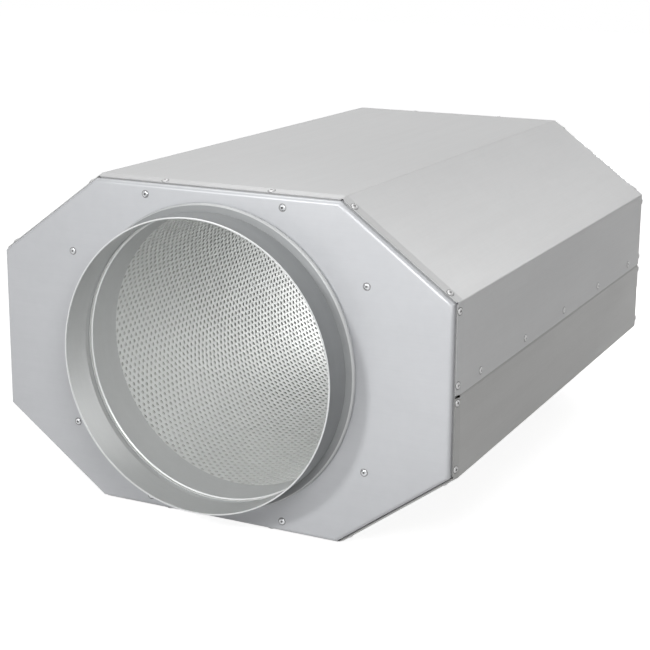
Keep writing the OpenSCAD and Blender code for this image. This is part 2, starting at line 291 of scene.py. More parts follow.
def open_group(name: str, kind: TreeKind, inputs: dict[str, str], outputs: dict[str, str]
               ) -> tuple[NodeNet, bpy.types.bpy_prop_collection, bpy.types.Node]:
    """Starts a node group with named sockets.

    Args:
        name: name of the group.
        kind: kind of the group.
        inputs: socket kind by name.
        outputs: socket kind by name.

    Returns:
        The group's net, the sockets that bring its inputs, and its output node.
    """
    tree = bpy.data.node_groups.new(name, kind.value)
    for side, sockets in (("INPUT", inputs), ("OUTPUT", outputs)):
        for label, socket in sockets.items():
            tree.interface.new_socket(label, in_out=side, socket_type="NodeSocket" + socket)
    net = NodeNet(tree)
    return net, net.put("NodeGroupInput").outputs, net.put("NodeGroupOutput")


class SheetEffects:
    """Shader groups that the finishes share, each built once."""

    # Noise values between which a pattern fades in
    SOFT = (0.3, 0.7)
    RUBBED = (0.56, 0.76)
    FELTED = (0.38, 0.62)
    # Clouds: shares of the wide and the close ones, and how much closer those are
    CLOUD_SHARES = (0.72, 0.28)
    CLOSE_STEP = 14.0
    # Grain: shares of the fine and the broad lines, and how much wider those are
    GRAIN_SHARES = (0.6, 0.4)
    BROAD_STEP = 0.12
    # Smudges: share of a rubbed patch, and turn, stretch, fineness and width of its scuffs
    PATCH_SHARE = 0.6
    HAIR_TURN = (0.5, 0.4, 0.7)
    HAIR_DRAW = (1.0, 0.06, 1.0)
    HAIR_STEP = 12.0
    HAIR_WIDTH = 0.006
    # Fibres: turns of the three runs of strands, and their stretch
    STRAND_TURNS = ((0.2, 0.9, 0.1), (1.1, 0.3, 0.8), (0.6, 1.4, 2.1))
    STRAND_DRAW = (1.0, 0.12, 1.0)

    def __init__(self) -> None:
        """Builds the groups."""
        self.clouding = self.build_clouding()
        self.grain = self.build_grain()
        self.smudges = self.build_smudges()
        self.fibres = self.build_fibres()

    def build_clouding(self) -> bpy.types.NodeTree:
        """Builds soft clouds of a paler and a duller tone, as on zinc that has left a bath.

        Returns:
            The group.
        """
        net, get, end = open_group("clouding", TreeKind.SHADER, {
            "Vector": "Vector", "Scale": "Float", "Dull": "Color", "Pale": "Color",
        }, {"Color": "Color", "Mask": "Float"})
        wide = net.noise(get["Vector"], get["Scale"], detail=4.0)
        close = net.noise(get["Vector"], net.times(get["Scale"], self.CLOSE_STEP), detail=2.0)
        mask = net.weigh((net.ramp(wide, *self.SOFT), self.CLOUD_SHARES[0]),
                         (net.ramp(close, *self.SOFT), self.CLOUD_SHARES[1]))
        net.feed(end, {"Color": net.blend(mask, get["Dull"], get["Pale"]), "Mask": mask})
        return net.tree

    def build_grain(self) -> bpy.types.NodeTree:
        """Builds fine lines that a rolling mill leaves, drawn out along the sheet's run.

        Returns:
            The group.
        """
        net, get, end = open_group("grain", TreeKind.SHADER, {
            "Vector": "Vector", "Run": "Vector", "Scale": "Float",
        }, {"Lines": "Float", "Height": "Float"})
        drawn = net.vector("MULTIPLY", {0: get["Vector"], 1: get["Run"]})
        fine = net.noise(drawn, get["Scale"], detail=3.0, roughness=0.6)
        broad = net.noise(drawn, net.times(get["Scale"], self.BROAD_STEP), detail=2.0)
        lines = net.weigh((fine, self.GRAIN_SHARES[0]), (broad, self.GRAIN_SHARES[1]))
        net.feed(end, {"Lines": net.ramp(lines, *self.SOFT), "Height": fine})
        return net.tree

    def build_smudges(self) -> bpy.types.NodeTree:
        """Builds sparse rubbed patches and hairline scuffs from handling.

        Returns:
            The group.
        """
        net, get, end = open_group("smudges", TreeKind.SHADER, {
            "Vector": "Vector", "Scale": "Float"}, {"Mask": "Float"})
        patch = net.noise(get["Vector"], get["Scale"], detail=5.0, roughness=0.65, distortion=0.6)
        skewed = net.out("ShaderNodeMapping", {
            "Vector": get["Vector"], "Rotation": self.HAIR_TURN, "Scale": self.HAIR_DRAW})
        hair = net.noise(skewed, net.times(get["Scale"], self.HAIR_STEP), detail=1.0)
        off_middle = net.math("ABSOLUTE", net.minus(hair, 0.5))
        line = net.ramp(off_middle, 0.0, self.HAIR_WIDTH, 1.0, 0.0)
        rubbed = net.ramp(patch, *self.RUBBED)
        mask = net.math("MAXIMUM", net.times(rubbed, self.PATCH_SHARE), net.times(line, rubbed))
        net.feed(end, {"Mask": mask})
        return net.tree

    def build_fibres(self) -> bpy.types.NodeTree:
        """Builds matted fibres: three runs of thin strands laid over each other.

        Returns:
            The group.
        """
        net, get, end = open_group("fibres", TreeKind.SHADER, {
            "Vector": "Vector", "Scale": "Float"}, {"Mask": "Float", "Height": "Float"})
        total: object = 0.0
        for turn in self.STRAND_TURNS:
            laid = net.out("ShaderNodeMapping", {
                "Vector": get["Vector"], "Rotation": turn, "Scale": self.STRAND_DRAW})
            total = net.plus(total, net.noise(laid, get["Scale"], detail=2.0, distortion=0.8))
        mean = net.math("DIVIDE", total, float(len(self.STRAND_TURNS)))
        net.feed(end, {"Mask": net.ramp(mean, *self.FELTED), "Height": mean})
        return net.tree


# Finishes


class Surface:
    """Material with one Principled shader, whose patterns read Object coordinates."""

    def __init__(self, name: str) -> None:
        """Starts the material.

        Args:
            name: name of the material.
        """
        self.material = bpy.data.materials.new(name)
        self.net = open_net(self.material)
        self.shader = self.net.put("ShaderNodeBsdfPrincipled")
        self.net.put("ShaderNodeOutputMaterial", {"Surface": self.shader.outputs[0]})
        self.place = self.net.put("ShaderNodeTexCoord").outputs["Object"]

    def effect(self, group: bpy.types.NodeTree,
               **values: object) -> bpy.types.bpy_prop_collection:
        """Lays a shared effect on the surface and gives its outputs."""
        inputs = {"Vector": self.place, **values}
        return self.net.put("ShaderNodeGroup", inputs, node_tree=group).outputs

    def coat(self, tone: bpy.types.NodeSocket, roughness: bpy.types.NodeSocket,
             relief: dict[str, object], plain: dict[str, float]) -> bpy.types.Material:
        """Joins the patterns to the shader.

        Args:
            tone: the colour's socket.
            roughness: the roughness's socket.
            relief: inputs of the Bump node.
            plain: plain values of the shader by input name.

        Returns:
            The finished material.
        """
        bump = self.net.out("ShaderNodeBump", relief)
        self.net.feed(self.shader, {
            "Base Color": tone, "Roughness": roughness, "Normal": bump, **plain})
        return self.material


@dataclass(frozen=True)
class Finish:
    """What every finish has: a name, and two tones that cloud into each other."""

    name: str
    pale: Colour
    dull: Colour

    def clouds(self, surface: Surface, effects: SheetEffects,
               scale: float) -> bpy.types.bpy_prop_collection:
        """Lays both tones on a surface as clouds and gives the effect's outputs."""
        return surface.effect(effects.clouding, Scale=scale, Dull=self.dull, Pale=self.pale)


@dataclass(frozen=True)
class ZincSheet(Finish):
    """Zinc-coated rolled sheet: clouded tone, mill grain and a few rubbed patches."""

    run: Run
    metallic: float
    smooth: float = 0.36
    rough: float = 0.46
    gloss: float = 0.25
    cloud_scale: float = 8.0
    grain_scale: float = 700.0
    smudge_scale: float = 11.0
    grain_share: float = 0.05
    smudge_share: float = 0.10
    wear_shares: tuple[float, float, float] = (0.6, 0.4, 0.5)
    full_wear: float = 1.2
    relief: float = 0.03
    depth: float = 0.4 * MM

    def make(self, effects: SheetEffects) -> bpy.types.Material:
        """Builds the material from the shared clouding, grain and smudges groups.

        Args:
            effects: the shared groups.

        Returns:
            The material.
        """
        surface = Surface(self.name)
        net = surface.net
        cloud = self.clouds(surface, effects, self.cloud_scale)
        grain = surface.effect(effects.grain, Run=self.run.value, Scale=self.grain_scale)
        smudge = surface.effect(effects.smudges, Scale=self.smudge_scale)
        lined = net.blend(net.times(grain["Lines"], self.grain_share),
                          cloud["Color"], self.dull, "MULTIPLY")
        tone = net.blend(net.times(smudge["Mask"], self.smudge_share), lined, self.dull)
        patterns = (cloud["Mask"], grain["Lines"], smudge["Mask"])
        worn = net.weigh(*zip(patterns, self.wear_shares))
        return surface.coat(
            tone, net.ramp(worn, 0.0, self.full_wear, self.smooth, self.rough),
            {"Height": grain["Height"], "Strength": self.relief, "Distance": self.depth},
            {"Metallic": self.metallic, "Specular IOR Level": self.gloss})


@dataclass(frozen=True)
class RivetMetal(Finish):
    """Bare metal of set rivets and of their broken stems, mottled where the tool pressed."""

    smooth: float
    rough: float
    metallic: float
    cloud_scale: float = 160.0
    smudge_scale: float = 240.0
    relief: float = 0.12
    depth: float = 0.3 * MM

    def make(self, effects: SheetEffects) -> bpy.types.Material:
        """Builds the material from the shared clouding and smudges groups.

        Args:
            effects: the shared groups.

        Returns:
            The material.
        """
        surface = Surface(self.name)
        cloud = self.clouds(surface, effects, self.cloud_scale)
        smudge = surface.effect(effects.smudges, Scale=self.smudge_scale)
        return surface.coat(
            surface.net.blend(smudge["Mask"], cloud["Color"], self.dull),
            surface.net.ramp(cloud["Mask"], 0.0, 1.0, self.smooth, self.rough),
            {"Height": cloud["Mask"], "Strength": self.relief, "Distance": self.depth},
            {"Metallic": self.metallic})


@dataclass(frozen=True)
class MattedFibre(Finish):
    """Dull matted fibre: mineral wool or the fleece that holds it back."""

    strand_scale: float
    relief: float
    cloud_scale: float = 18.0
    strand_share: float = 0.5
    smooth: float = 0.82
    rough: float = 0.98
    gloss: float = 0.2
    depth: float = 1.0 * MM

    def make(self, effects: SheetEffects) -> bpy.types.Material:
        """Builds the material from the shared fibres and clouding groups.

        Args:
            effects: the shared groups.

        Returns:
            The material.
        """
        surface = Surface(self.name)
        net = surface.net
        cloud = self.clouds(surface, effects, self.cloud_scale)
        strand = surface.effect(effects.fibres, Scale=self.strand_scale)
        return surface.coat(
            net.blend(net.times(strand["Mask"], self.strand_share),
                      cloud["Color"], self.dull, "MULTIPLY"),
            net.ramp(strand["Mask"], 0.0, 1.0, self.smooth, self.rough),
            {"Height": strand["Height"], "Strength": self.relief, "Distance": self.depth},
            {"Specular IOR Level": self.gloss})


class Finishes:
    """The finishes of this attenuator, each made into a material once."""

    ALL = (
        ZincSheet("casing_zinc", (0.614, 0.616, 0.618), (0.584, 0.586, 0.588), Run.ALONG_DUCT,
                  metallic=0.22),
        # Darker copy of the casing's zinc for the lower shell: painted shade on the lower half
        ZincSheet("lower_casing_zinc", (0.50, 0.498, 0.49), (0.47, 0.468, 0.46),
                  Run.ALONG_DUCT, metallic=0.22),
        ZincSheet("plate_zinc", (0.635, 0.645, 0.665), (0.605, 0.615, 0.635), Run.ACROSS_PLATE,
                  metallic=0.22),
        ZincSheet("spigot_zinc", (0.63, 0.64, 0.64), (0.59, 0.60, 0.60), Run.ROUND_RING,
                  metallic=0.25, smooth=0.46, rough=0.56),
        # Paler copy of the spigot's zinc for its rolled rim and the groove's slope: painted
        # highlight
        ZincSheet("spigot_edge_zinc", (0.84, 0.85, 0.85), (0.80, 0.81, 0.81), Run.ROUND_RING,
                  metallic=0.3),
        ZincSheet("tube_zinc", (0.85, 0.86, 0.85), (0.81, 0.82, 0.81), Run.ROUND_RING,
                  metallic=0.7, smooth=0.50, rough=0.60),
        ZincSheet("spigot_outside_zinc", (0.36, 0.37, 0.375), (0.33, 0.34, 0.345),
                  Run.ROUND_RING, metallic=0.08, smooth=0.62, rough=0.74),
        # Dark grey that stands in for shade: painted shade in the gap round the end plates and
        # round the rivet heads
        ZincSheet("joint_sealant", (0.36, 0.36, 0.36), (0.31, 0.31, 0.31), Run.ROUND_RING,
                  metallic=0.0, smooth=0.6, rough=0.75),
        RivetMetal("rivet_aluminium", (0.62, 0.63, 0.64), (0.52, 0.53, 0.54),
                   smooth=0.22, rough=0.34, metallic=0.85),
        RivetMetal("casing_rivet_steel", (0.60, 0.60, 0.60), (0.50, 0.50, 0.50),
                   smooth=0.34, rough=0.46, metallic=0.6),
        # Steel of the broken stems, made almost black as painted shade in the rivets' cores
        RivetMetal("stem_steel", (0.08, 0.08, 0.08), (0.04, 0.04, 0.04),
                   smooth=0.5, rough=0.7, metallic=0.3),
        MattedFibre("wool_fibre", (0.55, 0.50, 0.33), (0.42, 0.37, 0.22),
                    strand_scale=240.0, relief=0.9),
        MattedFibre("fleece_fibre", (0.77, 0.77, 0.76), (0.69, 0.69, 0.68),
                    strand_scale=900.0, relief=0.4),
    )

    def __init__(self) -> None:
        """Builds every material from one set of effects."""
        effects = SheetEffects()
        self.materials = {finish.name: finish.make(effects) for finish in self.ALL}

    def __getitem__(self, name: str) -> bpy.types.Material:
        """Gives a material by the finish's name."""
        return self.materials[name]


# Pieces


def dress(node: str, material: bpy.types.Material) -> None:
    """Gives a CAD node a finish.

    Args:
        node: name of the CAD node.
        material: the finish.
    """
    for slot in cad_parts[node].material_slots:
        slot.material = material
    LOG.info("dressed %s in %s", node, material.name)


def put_object(name: str, data: bpy.types.ID) -> bpy.types.Object:
    """Links a mesh, lamp or camera into the scene as an object.

    Args:
        name: name of the object.
        data: its mesh, with its place in its points, or its lamp or camera.

    Returns:
        The new object.
    """
    obj = bpy.data.objects.new(name, data)
    bpy.context.scene.collection.objects.link(obj)
    return obj


def put_shape(name: str, shape: bmesh.types.BMesh) -> bpy.types.Object:
    """Makes a finished shape an object and frees it.

    Args:
        name: name of the object and its mesh.
        shape: the shape.

    Returns:
        The new object.
    """
    mesh = bpy.data.meshes.new(name)
    shape.to_mesh(mesh)
    shape.free()
    return put_object(name, mesh)


def merged_shape(node: str) -> bmesh.types.BMesh:
    """Copies a CAD node's loose triangles with their doubled points merged.

    Args:
        node: name of the CAD node.

    Returns:
        The shape, which the caller frees.
    """
    shape = bmesh.new()
    shape.from_mesh(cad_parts[node].data)
    bmesh.ops.remove_doubles(shape, verts=shape.verts, dist=WELD)
    return shape


def grow(obj: bpy.types.Object, tree: bpy.types.NodeTree, values: dict[str, object]) -> None:
    """Adds a Geometry Nodes modifier and sets its inputs by their sockets' identifiers.

    Args:
        obj: the object that the tree works on.
        tree: the tree.
        values: value by the input's name.
    """
    modifier = obj.modifiers.new(tree.name, "NODES")
    modifier.node_group = tree
    for item in tree.interface.items_tree:
        if item.item_type == "SOCKET" and item.in_out == "INPUT" and item.name in values:
            modifier[item.identifier] = values[item.name]


def thicken(obj: bpy.types.Object, wall: float) -> None:
    """Adds a modifier that gives a thin sheet its wall."""
    modifier = obj.modifiers.new("wall", "SOLIDIFY")
    modifier.thickness, modifier.offset, modifier.use_even_offset = wall, 1.0, True


def settle(obj: bpy.types.Object, sharp: float = 35.0) -> bpy.types.Object:
    """Turns an object's modifiers into a plain closed mesh with outward faces.

    Args:
        obj: the object with its modifiers.
        sharp: angle in degrees above which an edge stays sharp.

    Returns:
        The same object.
    """
    graph = bpy.context.evaluated_depsgraph_get()
    mesh = bpy.data.meshes.new_from_object(obj.evaluated_get(graph))
    obj.modifiers.clear()
    old, obj.data = obj.data, mesh
    bpy.data.meshes.remove(old)
    shape = bmesh.new()
    shape.from_mesh(mesh)
    bmesh.ops.recalc_face_normals(shape, faces=shape.faces)
    shape.to_mesh(mesh)
    shape.free()
    mesh.shade_smooth()
    mesh.set_sharp_from_angle(angle=math.radians(sharp))
    mesh.name = obj.name
    return obj


def hand_over(obj: bpy.types.Object, slot: str, *nodes: str) -> None:
    """Lets a piece ride on the body and hides the CAD nodes that it stands for.

    Args:
        obj: the finished piece.
        slot: the record's material slot; not used.
        nodes: CAD nodes that the piece replaces.
    """
    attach(obj, BODY)
    if nodes:
        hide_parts(*nodes)
    LOG.info("made %s, %d faces", obj.name, len(obj.data.polygons))


class Skin:
    """Points and faces of a piece that is put together from bands of rings."""

    def __init__(self) -> None:
        """Starts without points."""
        self.points: list[Point] = []
        self.faces: list[tuple[int, ...]] = []
        self.tones: list[int] = []

    def band(self, rings: list[list[Point]], tones: list[int] | None = None,
             capped: bool = False) -> None:
        """Joins rings of equally many points.

        Args:
            rings: the rings in order.
            tones: number of the finish behind each ring; all 0 if left out.
            capped: closes the first and the last ring with a face each, instead of joining
                the last ring to the first.
        """
        first, count = len(self.points), len(rings[0])
        for ring in rings:
            self.points += ring
        spans = len(rings) - 1 if capped else len(rings)
        for i in range(spans):
            a, b = first + i * count, first + (i + 1) % len(rings) * count
            for k in range(count):
                m = (k + 1) % count
                self.faces.append((a + k, a + m, b + m, b + k))
                self.tones.append(tones[i] if tones else 0)
        if capped:
            for start in (first, first + spans * count):
                self.faces.append(tuple(range(start, start + count)))
                self.tones.append(0)

    def piece(self, name: str, *materials: bpy.types.Material) -> bpy.types.Object:
        """Makes the piece.

        Args:
            name: name of the object.
            materials: the finishes by number.

        Returns:
            The object, with outward faces.
        """
        mesh = bpy.data.meshes.new(name)
        mesh.from_pydata(self.points, [], self.faces)
        for material in materials:
            mesh.materials.append(material)
        mesh.polygons.foreach_set("material_index", self.tones)
        return settle(put_object(name, mesh))


@dataclass(frozen=True)
class Octagon:
    """Outline of the casing's section: a box with four slanted corners."""

    half_w: float = 271.0 * MM
    half_h: float = 183.0 * MM
    corner_w: float = 126.0 * MM
    corner_h: float = 92.0 * MM

    def corners(self, inset: float) -> list[Vector]:
        """Gives the corners of the outline, moved in.

        Args:
            inset: distance from the outer outline.

        Returns:
            Eight points across (X) and up (Z), anticlockwise from the right side's lower one.
        """
        slope = Vector((self.corner_h, self.corner_w)).normalized()
        far = slope.dot(Vector((self.half_w, self.half_h - self.corner_h))) - inset
        w, h = self.half_w - inset, self.half_h - inset
        z, x = (far - slope.x * w) / slope.y, (far - slope.y * h) / slope.x
        return [Vector(p) for p in ((w, -z), (w, z), (x, h), (-x, h),
                                    (-w, z), (-w, -z), (-x, -h), (x, -h))]

    def ring(self, inset: float, steps: int) -> list[Vector]:
        """Gives points all along the outline.

        Args:
            inset: distance from the outer outline.
            steps: points on each of the eight edges.

        Returns:
            The points across and up, anticlockwise.
        """
        corners = self.corners(inset)
        return [a.lerp(b, k / steps) for a, b in zip(corners, corners[1:] + corners[:1])
                for k in range(steps)]


@dataclass
class Casing:
    """Folded shells and the tube carriers behind the end plates."""

    carriers: tuple[str, ...] = ("front_tube_carrier", "rear_tube_carrier")

    def dress(self, finishes: Finishes) -> None:
        """Gives the sheets their zinc.

        Args:
            finishes: where the zinc comes from.
        """
        for half in Half:
            dress(f"{half.value}_shell", finishes[half.zinc])
        for node in self.carriers:
            dress(node, finishes["plate_zinc"])


@dataclass
class MarginCorners:
    """Small folds that close the shells' drawn margins at the corners of the casing."""

    outline: Octagon = Octagon()
    # Distance from the middle and inset from the outline at each bend of the margin
    stations: tuple[tuple[float, float], ...] = (
        (328.4 * MM, 0.25 * MM), (329.0 * MM, 0.04 * MM), (336.0 * MM, 1.74 * MM))
    reach: float = 1.7 * MM
    rounding: float = 2.4 * MM
    sheet: float = 0.9 * MM
    arc_steps: int = 6

    def section(self, number: int, inset: float) -> list[Vector]:
        """Gives the section of one fold.

        Args:
            number: number of the outline's corner.
            inset: distance from the outer outline.

        Returns:
            Points across and up, round the section.
        """
        corners = self.outline.corners(inset)
        tip = corners[number]
        left, right = ((corners[(number + k) % len(corners)] - tip).normalized()
                       for k in (-1, 1))
        half = (math.pi - left.angle(right)) / 2
        start = self.rounding * math.tan(half)
        outer = [tip + left * self.reach]
        for k in range(self.arc_steps + 1):
            u = k / self.arc_steps
            outer.append(tip + left * start * (1 - u) ** 2 + right * start * u ** 2)
        outer.append(tip + right * self.reach)
        inward = (left + right).normalized() * self.sheet / math.cos(half)
        return outer + [p + inward for p in reversed(outer)]

    def build(self, finishes: Finishes) -> None:
        """Builds the folds of both ends, one piece for each shell.

        Args:
            finishes: where the shells' zinc comes from.
        """
        for half in Half:
            skin = Skin()
            for number, corner in enumerate(self.outline.corners(0.0)):
                if (corner.y > 0.0) != (half is Half.UPPER):
                    continue
                for end in End:
                    skin.band([end.place(self.section(number, inset), y)
                               for y, inset in self.stations], capped=True)
            folds = skin.piece(f"{half.value}_margin_corners", finishes[half.zinc])
            hand_over(folds, "shell_sheet")


@dataclass
class EndPlates:
    """Eight-sided trays: a flat face, tight bends round closed corners, and a flange."""

    outline: Octagon = Octagon()
    face: float = 345.0 * MM
    hole: float = 159.5 * MM
    inset: float = 4.3 * MM
    sheet: float = 1.0 * MM
    bend: float = 4.2 * MM
    bend_steps: int = 6
    edge_steps: int = 12
    flange: float = 17.5 * MM
    # Dark strip of painted shade in the gap behind the plate's bend: its front and back, how far
    # it stops short of each corner, and its inset
    seal_front: float = 337.2 * MM
    seal_back: float = 333.0 * MM
    seal_stop: float = 2.4 * MM
    seal_inset: float = 3.1 * MM

    def stations(self) -> list[tuple[float | None, float]]:
        """Gives the plate's section from the hole over the flange and back.

        Returns:
            Inset from the casing's outline, None at the hole, and distance from the middle.
        """
        start, fold = self.inset + self.bend, self.face - self.bend
        arc = [math.radians(90.0 * k / self.bend_steps) for k in range(self.bend_steps + 1)]
        thin = self.bend - self.sheet
        rim = self.face - self.flange
        return [(None, self.face),
                *((start - self.bend * math.sin(a), fold + self.bend * math.cos(a)) for a in arc),
                (self.inset, rim), (self.inset + self.sheet, rim),
                *((start - thin * math.sin(a), fold + thin * math.cos(a)) for a in reversed(arc)),
                (None, self.face - self.sheet)]

    def ring(self, end: End, inset: float | None, y: float) -> list[Point]:
        """Gives one ring of the plate's skin.

        Args:
            end: end of the duct line.
            inset: distance from the casing's outline, or None for the hole's edge.
            y: distance from the middle.

        Returns:
            The ring's points.
        """
        flat = self.outline.ring(self.inset if inset is None else inset, self.edge_steps)
        if inset is None:
            flat = [p.normalized() * self.hole for p in flat]
        return end.place(flat, y)

    def seal(self, skin: Skin, end: End) -> None:
        """Adds a dark grey strip between the flange and the shells' margins, open at the corners,
        as painted shade in the gap.

        Args:
            skin: the strips' skin.
            end: end of the duct line.
        """
        outer, inner = (self.outline.corners(d) for d in (self.seal_inset, self.inset))
        for k, corner in enumerate(outer):
            after = (k + 1) % len(outer)
            way = (outer[after] - corner).normalized() * self.seal_stop
            rings = []
            for number, shift in ((k, way), (after, -way)):
                a, b = outer[number] + shift, inner[number] + shift
                rings.append(end.place([a, b], self.seal_front)
                             + end.place([b, a], self.seal_back))
            skin.band(rings, capped=True)

    def build(self, finishes: Finishes) -> None:
        """Builds both plates and the dark strips of painted shade round them.

        Args:
            finishes: where the zinc and the painted shade's grey come from.
        """
        shade_strips = Skin()
        for end in End:
            skin = Skin()
            skin.band([self.ring(end, inset, y) for inset, y in self.stations()])
            plate = skin.piece(f"{end.word}_tray_plate", finishes["plate_zinc"])
            hand_over(plate, "plate_sheet", f"{end.word}_end_plate")
            self.seal(shade_strips, end)
        hand_over(shade_strips.piece("joint_seal", finishes["joint_sealant"]), "plate_sheet")


@dataclass
class DuctSpigots:
    """Rolled rings with a rounded rim and a stop bead, one at each end."""

    face: float = 345.0 * MM
    radius: float = 157.0 * MM
    bore: float = 156.0 * MM
    length: float = 45.0 * MM
    sleeve: float = 50.0 * MM
    steps: int = 160
    # Stop bead; its arc runs in degrees from the duct's side over the crest to the plate
    bead_w: float = 8.5 * MM
    bead_h: float = 8.2 * MM
    bead_crest: float = 2.8 * MM
    bead_arc: int = 120
    bead_step: int = 10
    bead_foot: float = 0.84
    # Degrees of the arc where the crest takes the bright zinc, a painted highlight
    bright_from: int = 50
    bright_to: int = 100
    # Seat in the plate's hole, behind the bead
    seat_gap: float = 0.05 * MM
    seat_wall: float = 0.4 * MM
    seat_depth: float = 3.0 * MM
    seat_foot: float = 5.5 * MM
    # Groove that the bead leaves inside, and the lip at its front
    groove: float = 159.0 * MM
    groove_foot: float = 5.1 * MM
    groove_back: float = 2.6 * MM
    groove_front: float = 6.6 * MM
    lip: float = 0.3 * MM
    lip_back: float = 8.2 * MM
    lip_front: float = 8.7 * MM
    # Rolled rim: how far it stands out, and depths of its foot, belly and shoulder
    hem: float = 0.35 * MM
    rim_foot: float = 1.6 * MM
    rim_belly: float = 1.0 * MM
    rim_shoulder: float = 0.5 * MM

    def outside(self) -> list[tuple[float, float, SpigotFace]]:
        """Gives the outer half of the section, from the rim over the bead to the sleeve.

        Returns:
            Radius, distance in front of the plate, and finish up to the next point.
        """
        bright, dull = SpigotFace.BRIGHT, SpigotFace.DULL
        points = [(self.radius, self.length - self.rim_foot, dull)]
        # Between the two crest angles the bead takes the bright zinc, a painted highlight on its
        # crest
        for degrees in range(0, self.bead_arc + 1, self.bead_step):
            angle = math.radians(degrees)
            reach = self.bead_w - self.bead_crest if degrees < 90 else self.bead_crest
            points.append((self.radius + self.bead_h * math.sin(angle),
                           self.bead_crest + reach * math.cos(angle),
                           bright if self.bright_from <= degrees < self.bright_to else dull))
        seat = self.groove + self.seat_wall
        return points + [
            (self.radius + self.bead_foot * self.bead_h, self.seat_gap, dull),
            (seat, self.seat_gap, dull), (seat, -self.seat_depth, dull),
            (self.radius, -self.seat_foot, dull), (self.radius, -self.sleeve, bright)]

    def inside(self) -> list[tuple[float, float, SpigotFace]]:
        """Gives the inner half of the section, from the sleeve back to the rolled rim.

        Returns:
            Radius, distance in front of the plate, and finish up to the next point.
        """
        bright, edge = SpigotFace.BRIGHT, SpigotFace.EDGE
        foot, belly, shoulder = (self.length - depth for depth in (
            self.rim_foot, self.rim_belly, self.rim_shoulder))
        thin, thick = self.bore - self.hem, self.radius + self.hem
        rim = [(self.bore, foot), (thin, belly), (thin, shoulder), (self.bore, self.length),
               (self.radius, self.length), (thick, shoulder), (thick, belly)]
        # The groove's front slope and the rolled rim take the paler zinc as a painted highlight
        return [(self.bore, -self.sleeve, bright), (self.bore, -self.groove_foot, edge),
                (self.groove, -self.groove_back, bright), (self.groove, self.groove_front, bright),
                (self.bore + self.lip, self.lip_back, bright),
                (self.bore, self.lip_front, bright),
                *((radius, out, edge) for radius, out in rim)]

    def build(self, finishes: Finishes) -> None:
        """Builds both rings.

        Args:
            finishes: where the zinc of the faces comes from.
        """
        section, faces = self.outside() + self.inside(), list(SpigotFace)
        tones = [faces.index(face) for _, _, face in section]
        turns = [FULL_TURN * k / self.steps for k in range(self.steps)]
        for end in End:
            skin = Skin()
            skin.band([[(r * math.cos(a), end.value * (self.face + out), r * math.sin(a))
                        for a in turns] for r, out, _ in section], tones)
            ring = skin.piece(f"{end.word}_rolled_spigot",
                              *(finishes[face.value] for face in faces))
            hand_over(ring, "spigot_sheet", f"{end.word}_spigot")


